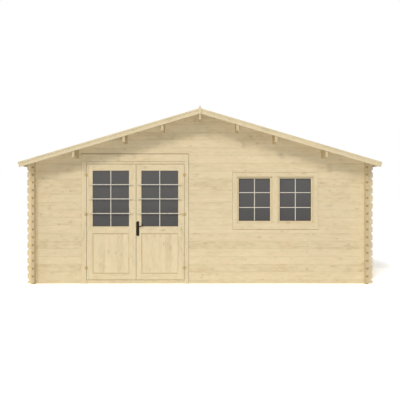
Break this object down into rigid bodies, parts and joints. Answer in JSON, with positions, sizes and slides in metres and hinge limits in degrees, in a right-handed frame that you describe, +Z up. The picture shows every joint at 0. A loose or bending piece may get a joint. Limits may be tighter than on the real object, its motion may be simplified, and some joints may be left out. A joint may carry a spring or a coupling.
{
  "type": "log cabin",
  "caption": "Garden log cabin with a low gable roof, crossed log corners, half-glazed outward-opening doors and a barred window.",
  "frame": {"origin": "on the ground, under the middle of the cabin's overall box", "axes": "+X to the right seen from the front, along the wall with the doors; +Y to the back; +Z up"},
  "size_m": [6.098, 5.6742, 3.0483],
  "materials": {
    "log_wood": "planed, unfinished spruce",
    "roof_wood": "planed, unfinished spruce",
    "trim_wood": "planed, unfinished spruce",
    "joinery_wood": "sanded, unfinished spruce",
    "floor_wood": "planed, unfinished spruce",
    "pane_glass": "clear float glass",
    "hinge_brass": "satin",
    "handle_black": "satin black"
  },
  "bodies": {
    "cabin": {"front_sill_log": "log_wood", "front_wall_left": "log_wood", "front_wall_right": "log_wood", "front_lintel_log": "log_wood", "front_gable": "log_wood", "back_wall": "log_wood", "back_gable": "log_wood", "left_wall": "log_wood", "right_wall": "log_wood", "ridge_purlin": "roof_wood", "left_purlins": "roof_wood", "right_purlins": "roof_wood", "roof_slope_right": "roof_wood", "roof_slope_left": "roof_wood", "eave_batten_right": "roof_wood", "eave_batten_left": "roof_wood", "front_bargeboard_right": "trim_wood", "front_bargeboard_left": "trim_wood", "back_bargeboard_left": "trim_wood", "back_bargeboard_right": "trim_wood", "front_ridge_cover": "trim_wood", "back_ridge_cover": "trim_wood", "door_trim": "trim_wood", "window_trim": "trim_wood", "door_frame": "joinery_wood", "window_frame": "joinery_wood", "left_window_sash": "joinery_wood", "right_window_sash": "joinery_wood", "floor_bearers": "floor_wood", "floor": "floor_wood", "left_window_glass": "pane_glass", "right_window_glass": "pane_glass", "left_frame_hinges": "hinge_brass", "right_frame_hinges": "hinge_brass"},
    "left_leaf": {"left_door_leaf": "joinery_wood", "left_door_glass": "pane_glass", "left_door_panel": "joinery_wood", "left_leaf_hinges": "hinge_brass"},
    "right_leaf": {"right_door_leaf": "joinery_wood", "right_door_glass": "pane_glass", "right_door_panel": "joinery_wood", "right_leaf_hinges": "hinge_brass", "door_handle_plates": "handle_black"},
    "lever": {"door_lever": "handle_black"}
  },
  "joints": [
    {"name": "left_door_hinge", "type": "hinge", "parent": "cabin", "child": "left_leaf", "pos_m": [-1.97, -2.3885, 1], "axis": [0, 0, -1], "range_deg": [0, 115]},
    {"name": "right_door_hinge", "type": "hinge", "parent": "cabin", "child": "right_leaf", "pos_m": [-0.27, -2.3885, 1], "axis": [0, 0, 1], "range_deg": [0, 115]},
    {"name": "lever_turn", "type": "hinge", "parent": "right_leaf", "child": "lever", "pos_m": [-1.078, -2.3605, 1], "axis": [0, 1, 0], "range_deg": [0, 40], "stiffness_Nm_per_rad": 1.5, "springref_deg": -28.65}
  ]
}
